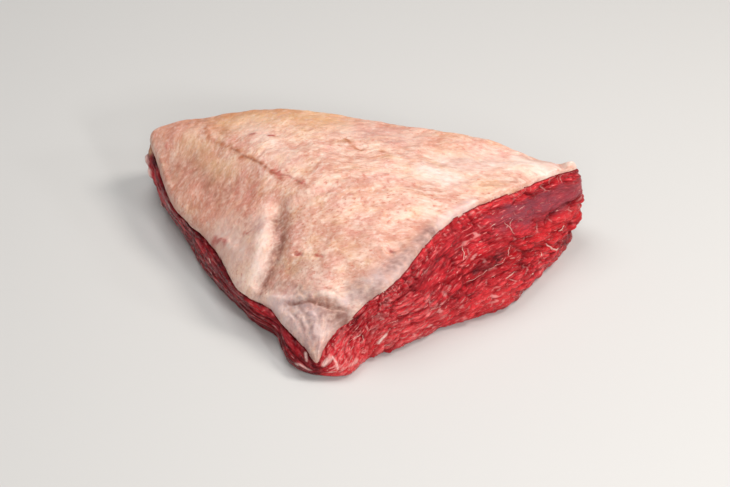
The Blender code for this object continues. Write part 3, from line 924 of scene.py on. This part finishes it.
ROSY_MARKS = (
    (1, 13, ((-120, 84), (-104, 86), (-86, 88))),
    (0.9, 14, ((-112, 50), (-92, 26), (-76, 4))),
    (0.6, 14, ((-80, 20), (-68, 8))),
    (1, 5.5, ((12, -48), (24, -38), (33, -27))),
    (1, 5, ((-85, -2), (-80, -12))),
    (1, 7, ((-80, -8), (-68, -24))),
    (0.5, 12, ((-20, 72), (20, 62), (44, 50))),
)
# Paler fat, with painted highlights on the hump beside the valley, the lip across the tongue and the lobe of
# the fold, and painted light on the thin side
PALE_AND_HIGHLIGHT_MARKS = (
    (0.3, 7, ((-69, 72), (-56, 50), (-44, 34))),
    (0.4, 9, ((-10, 62), (8, 56), (22, 50))),
    (0.9, 8, ((34, 18), (41, 15), (48, 11))),
    (0.8, 7, ((88, 38), (104, 26))),
    (0.5, 6, ((-70, -36), (-62, -40), (-56, -33))),
    (0.7, 7, ((-58, -8), (-56.5, -18), (-58.5, -30), (-62, -38))),
    (0.7, 3, ((-80, -8), (-76, -15))),
    (0.5, 1.2, ((-61, -46), (-50, -49.6), (-39, -53.2), (-32, -55.4))),
    (0.8, 1.9, ((-23.5, -57.3), (-19, -58.9), (-14.5, -60.8))),
    (0.6, 8, ((-82, -2), (-74, -14), (-68, -24))),
    (0.6, 11, ((50, 28), (78, 33), (104, 30))),
    (0.8, 3, ((116, 36), (122, 37))),
)
LILAC_MARKS = (
    (1, 8, ((-50, -54), (-36, -62), (-28, -72))),
    (0.9, 5, ((-30, -64), (-18, -68), (-12, -68))),
    (1, 6, ((-8, -60), (5, -58), (14, -52), (24, -44))),
    (0.8, 3.5, ((28, -38), (44, -22), (60, -8))),
    (0.6, 4, ((-3, -58), (3, -56))),
)

# The edges of all marks but the painted shade and dark spots wander, and so does how strong each mark is
x, y = fat_points[:, 0], fat_points[:, 1]
run, across = along_streaks(x, y)
wide = x + over_plan(x, y, ((0.9, 5, 5, 63), (0.5, 2, 2, 64)))
deep = y + over_plan(x, y, ((0.9, 5, 5, 65), (0.5, 2, 2, 66)))
patchy = np.clip(0.9 + 0.35 * swells(run / 6, across / 5, 61) + 0.45 * swells(x / 3, y / 2.5, 62), 0.5, 1.3)
for mark_name, mark_rows in (
    ("blood", BLOOD_MARKS), ("ochre", OCHRE_MARKS), ("shade_and_dark_spots", SHADE_AND_DARK_SPOT_MARKS), ("sallow", SALLOW_MARKS),
    ("rosy", ROSY_MARKS), ("pale_and_highlight", PALE_AND_HIGHLIGHT_MARKS), ("lilac", LILAC_MARKS),
):
    on_x, on_y = (x, y) if mark_name == "shade_and_dark_spots" else (wide, deep)
    paint(fat_mesh, mark_name, np.clip(marked(on_x, on_y, mark_rows) * patchy, 0, 1))
paint(fat_mesh, "fan", np.clip(bare(x, y) * (0.5 + 0.9 * fanned(x, y)), 0, 1))
paint(fat_mesh, "streaks", np.stack([run, across, fat_points[:, 2]], axis=1))

# Beef fat: a waxy, scattering white under a thin moist skin. It is soft in its shadows and half glossy.
# The mottling of the skin is drawn nearly 2 mm wide, and its smears 5 mm.
fat_material = moist_tissue(
    "Beef fat", "streaks", "#D8A08A",
    noises=(
        ("mottle", (1.9, 1.5, 1.6), 3),
        ("smears", (4.8, 4.2, 4), 3),
        ("patches", (18, 15, 12), 3),
        ("spots", (1.9, 1.4, 1.6), 2),
        ("tinge", (12, 10, 9), 3),
    ),
    tints=(
        ("patches", 0.4, 0.6, "#F0C3AD", 1),
        ("tinge", 0.52, 0.66, "#E9BC94", 0.5),
        ("tinge", 0.46, 0.34, "#E6A298", 0.4),
        ("smears", 0.5, 0.64, "#F8E0CE", 0.45),
        ("smears", 0.46, 0.34, "#C67C68", 0.34),
        ("mottle", 0.52, 0.7, "#B87868", 0.4),
        ("mottle", 0.46, 0.3, "#FAE6DA", 0.4),
        ("spots", 0.6, 0.7, "#C8543C", 0.5),
        ("rosy", 0, 1, "#CE8066", 0.6),
        ("sallow", 0, 1, "#E0AE80", 0.78),
        # Paler fat, with painted highlights and painted light in places
        ("pale_and_highlight", 0, 1, "#FCEAE0", 0.7),
        ("ochre", 0, 1, "#B4663C", 0.85),
        ("lilac", 0, 1, "#DEC4C0", 0.8),
        ("fan", 0, 1, "#A08284", 0.52),
        # Painted shade, with a few dark spots of the fat's own
        ("shade_and_dark_spots", 0, 1, "#845040", 0.87),
        ("blood", 0, 1, "#B63C34", 0.75),
    ),
    mottling=1.2, sheen=(0.34, 0.5), relief=(("mottle", 0.35), ("smears", 0.35)),
    settings={
        "IOR": 1.44, "Subsurface Weight": 0.2, "Subsurface Radius": (1, 0.6, 0.45),
        "Subsurface Scale": 0.0025, "Coat Weight": 0.2, "Coat Roughness": 0.2, "Coat IOR": 1.36,
    },
)
fat = place_piece("fat_layer", fat_mesh, fat_material)
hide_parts("fat_cap")

# Fat and sinew on the lean
# Threads and crumbs of white fat and sinew, left between the bundles by the knife: some in known places
# round the cut face and the tip, the rest scattered along the fibres. They are stuck fast in the wet muscle.

# Known threads: half width in mm before they are thinned, path (mm along the girth, mm down the wall)
THREADS = (
    (0.35, ((131, 12.5), (132, 16), (132.5, 21))),
    (0.3, ((132, 16), (137, 13))),
    (0.25, ((143, 10.2), (146, 9.2), (149, 8.8))),
    (0.3, ((130, 10), (132, 9.5))),
    (0.3, ((123, 12), (126, 11))),
    (0.35, ((97, 19), (100, 16), (102, 12.5))),
    (0.25, ((98.5, 17.5), (99.5, 18))),
    (0.4, ((122, 30), (124, 28), (128, 25))),
    (0.3, ((122, 31), (126, 32))),
    (1.1, ((155, 36), (158, 40), (162, 43), (166, 44))),
    (0.8, ((170, 34), (174, 33.5), (176, 32))),
    (1, ((146, 41), (149, 40))),
    (1, ((133.5, 48), (135.5, 49))),
    (0.7, ((114, 41), (119, 41), (124, 41))),
    (0.38, ((102, 31.3), (109, 31.6), (116, 31.2), (121, 29.6))),
    (0.3, ((91, 29.6), (96, 30.4), (102, 31.2))),
    (0.35, ((34, 29), (39, 33))),
    (0.3, ((20, 8), (24, 9), (28, 11), (27, 14), (22, 13))),
    (0.35, ((2, 9), (6, 11))),
    (0.7, ((556, 8), (560, 9))),
)
THREAD_STEPS = 14
THREAD_SIDES = 6
THREAD_FLATNESS = 0.4
THINNED = 0.6
TOP_MARGIN = 0.3
LIFT_SHARE = 0.1
STEEPEST = 1.2
WANDER = 0.4
WANDER_LENGTH = 4
SCATTERED = 190
SCATTER_START = 2
SCATTER_SPAN = 194
SCATTER_LENGTHS = (0.6, 2.8)
SCATTER_HALF_WIDTHS = (0.08, 0.19)
FRINGE = 12
FRINGE_PLACES = (144, 182)
FRINGE_ASIDE = (-2.5, 1)
FRINGE_LENGTHS = (2, 5.5)
FRINGE_HALF_WIDTHS = (0.09, 0.15)
KNOWN_PINKNESS = (0.2, 0.5)
OTHER_PINKNESS = (0.4, 0.9)
PALENESS = 0.6


def on_wall(at, drop, lift):
    """Points this far off the finished wall, and the way out of it, at places along it and mm down it."""
    column = np.interp(np.mod(at, GIRTH), np.append(lean_at, GIRTH), np.arange(len(lean_at) + 1))
    top = rim_and_foot(at)[0][..., 2] - LAYER_GAP
    row = np.clip(drop / top * WALL_ROWS - 1, 0, WALL_ROWS - 1)
    i, j = row.astype(int), column.astype(int)
    u, v = (row - i)[..., None], (column - j)[..., None]
    following = (j + 1) % len(lean_at)
    found = []
    for grid in (sides, wall_out):
        near = (1 - v) * grid[i, j % len(lean_at)] + v * grid[i, following]
        far = (1 - v) * grid[i + 1, j % len(lean_at)] + v * grid[i + 1, following]
        found.append((1 - u) * near + u * far)
    return found[0] + lift[..., None] * found[1], found[1]


def thread_skins(centre, up, half_width, flatness):
    """Tubes round lines of points: flattened ellipses across each line that taper to both of its ends.

    The half width falls off as the square root of 1 - 0.99 s^2, with s from -1 at one end to 1 at the
    other, so that a tenth of it is left at the ends.
    """
    along = np.gradient(centre, axis=1)
    along /= np.linalg.norm(along, axis=2)[..., None] + 1e-9
    aside = np.cross(along, up)
    aside /= np.linalg.norm(aside, axis=2)[..., None] + 1e-9
    above = np.cross(aside, along)
    s = np.linspace(-1, 1, THREAD_STEPS)
    half = half_width[:, None] * np.sqrt(1 - 0.99 * s**2)
    turn = 2 * np.pi * np.arange(THREAD_SIDES) / THREAD_SIDES
    wide = np.cos(turn)[:, None] * aside[..., None, :]
    high = flatness * np.sin(turn)[:, None] * above[..., None, :]
    return centre[:, :, None] + half[..., None, None] * (wide + high)


def thread_mesh(name, skins):
    """One mesh of all the tubes, each closed at its ends by fans of triangles."""
    number = np.arange(skins[..., 0].size).reshape(skins.shape[:3])
    beside = np.roll(number, -1, axis=2)
    quads = np.stack([number[:, :-1], beside[:, :-1], beside[:, 1:], number[:, 1:]], axis=3)
    corners = np.arange(1, THREAD_SIDES - 1)
    triangles = []
    for end, here, there in ((number[:, 0], corners + 1, corners), (number[:, -1], corners, corners + 1)):
        hub = end[:, :1].repeat(len(corners), axis=1)
        triangles.append(np.stack([hub, end[:, here], end[:, there]], axis=2).reshape(-1, 3))
    return skin_mesh(name, skins.reshape(-1, 3), quads.reshape(-1, 4), np.concatenate(triangles))


def resampled(path):
    """Even steps along a path, as many as a thread has."""
    path = np.array(path, float)
    along = np.append(0, np.cumsum(np.hypot(*np.diff(path, axis=0).T)))
    steps = np.linspace(0, along[-1], THREAD_STEPS)
    return np.stack([np.interp(steps, along, line) for line in path.T], axis=1)


def along_grain(at, drop, length):
    """Short lines along the muscle fibres, from each place on the wall, this long in mm."""
    top = rim_and_foot(at)[0][..., 2]
    climb = (grain(at + 1, drop, top) - grain(at - 1, drop, top)) / 2
    spread = (grain(at, drop + 1, top) - grain(at, drop - 1, top)) / 2
    slope = np.clip(-climb / np.maximum(spread, 0.3), -STEEPEST, STEEPEST)
    steps = np.linspace(0, 1, THREAD_STEPS) * length[:, None]
    return np.stack([at[:, None] + steps, drop[:, None] + slope[:, None] * steps], axis=2)


rng = np.random.default_rng(11)
known = np.array([resampled(path) for _, path in THREADS])
scatter_at = SCATTER_START + SCATTER_SPAN * rng.beta(1, 1.5, SCATTERED)
scatter_drop = rng.beta(1.3, 1.1, SCATTERED) * rim_and_foot(scatter_at)[0][:, 2]
scattered = along_grain(scatter_at, scatter_drop, rng.uniform(*SCATTER_LENGTHS, SCATTERED))

# A fringe of short hairs hangs from the fat above the maroon patch
hair_at = rng.uniform(*FRINGE_PLACES, FRINGE)[:, None]
fall = np.linspace(0, 1, THREAD_STEPS)
hair = np.stack([
    hair_at + rng.uniform(*FRINGE_ASIDE, FRINGE)[:, None] * fall,
    rng.uniform(*FRINGE_LENGTHS, FRINGE)[:, None] * fall,
], axis=2)
threads = np.concatenate([known, scattered, hair])
half_widths = np.concatenate([
    [THINNED * half for half, _ in THREADS],
    rng.uniform(*SCATTER_HALF_WIDTHS, SCATTERED),
    rng.uniform(*FRINGE_HALF_WIDTHS, FRINGE),
])
own_row = 3.7 * np.arange(len(threads))[:, None]
threads[..., 0] += WANDER * swells(threads[..., 0] / WANDER_LENGTH, own_row, 71)
threads[..., 1] += WANDER * swells(threads[..., 0] / WANDER_LENGTH, own_row, 72)
lift = LIFT_SHARE * half_widths[:, None] * np.ones(THREAD_STEPS)
centre, up = on_wall(threads[..., 0], np.maximum(threads[..., 1], TOP_MARGIN), lift)
threads_mesh = thread_mesh("fat_threads", thread_skins(centre, up, half_widths, THREAD_FLATNESS))
pinkness = np.concatenate([
    rng.uniform(*KNOWN_PINKNESS, len(known)), rng.uniform(*OTHER_PINKNESS, SCATTERED + FRINGE),
]).repeat(THREAD_STEPS * THREAD_SIDES)
paint(threads_mesh, "blood", pinkness)
paint(threads_mesh, "pale_and_highlight", np.full(len(pinkness), PALENESS))
along_tubes = threads.repeat(THREAD_SIDES, axis=1).reshape(-1, 2)
paint(threads_mesh, "streaks", np.column_stack([along_tubes, np.zeros(len(along_tubes))]))
fat_threads = place_piece("fat_threads", threads_mesh, fat_material)

# Floor
# A plain pale board for the part to rest on, so that it casts a soft shadow. It isn't part of the object.
FLOOR_SIDE = 6
half = FLOOR_SIDE / 2
floor_mesh = bpy.data.meshes.new("floor")
floor_corners = [(-half, -half, 0), (half, -half, 0), (half, half, 0), (-half, half, 0)]
floor_mesh.from_pydata(floor_corners, [], [(0, 1, 2, 3)])
floor_material = bpy.data.materials.new("Matt pale board")
floor_material.use_nodes = True
floor_surface = floor_material.node_tree.nodes["Principled BSDF"]
floor_surface.inputs["Base Color"].default_value = linear("#D2D0CD")
floor_surface.inputs["Roughness"].default_value = 0.8
floor_mesh.materials.append(floor_material)
floor = bpy.data.objects.new("floor", floor_mesh)
bpy.context.scene.collection.objects.link(floor)

# Light and camera
# Soft lights from the right, the front and overhead, two small ones at the right that make the wet cut face
# sparkle, and a pale room. The camera looks down by 40 degrees on the near tip, as in the photograph.
AIM = Vector((CENTRING[0] * MM, CENTRING[1] * MM, 0.025))
ROOM_STRENGTH = 0.18

# Square lights: name, place and width in metres, watts, colour
LIGHTS = (
    ("right", (0.68, 0.05, 0.92), 0.35, 6, "#FFFAF5"),
    ("front", (0, -0.85, 0.7), 0.35, 3, "#FFFFFF"),
    ("overhead", (-0.2, 0.25, 1.05), 0.7, 5.5, "#FFFFFF"),
    ("front_right", (0.5, -0.7, 0.5), 0.12, 2.4, "#FFFFFF"),
    ("low_right", (0.95, -0.25, 0.55), 0.12, 1.2, "#FFFFFF"),
)
for name, place, width, power, colour in LIGHTS:
    lamp = bpy.data.lights.new(name, "AREA")
    lamp.size = width
    lamp.energy = power
    lamp.color = linear(colour)[:3]
    holder = bpy.data.objects.new(name, lamp)
    holder.location = place
    holder.rotation_euler = (AIM - Vector(place)).to_track_quat("-Z", "Y").to_euler()
    bpy.context.scene.collection.objects.link(holder)

room = bpy.data.worlds.new("pale room")
room.use_nodes = True
room.node_tree.nodes["Background"].inputs["Color"].default_value = linear("#F2F2F2")
room.node_tree.nodes["Background"].inputs["Strength"].default_value = ROOM_STRENGTH
bpy.context.scene.world = room
bpy.context.scene.view_settings.view_transform = "Standard"

CAMERA_ELEVATION = np.radians(40)
CAMERA_DISTANCE = 0.99
view = bpy.data.cameras.new("view")
view.lens = 85
view.sensor_width = 36
view.sensor_fit = "HORIZONTAL"
camera = bpy.data.objects.new("view", view)
back = Vector((0, -np.cos(CAMERA_ELEVATION), np.sin(CAMERA_ELEVATION)))
camera.location = AIM + CAMERA_DISTANCE * back
camera.rotation_euler = (-back).to_track_quat("-Z", "Y").to_euler()
bpy.context.scene.collection.objects.link(camera)
bpy.context.scene.camera = camera
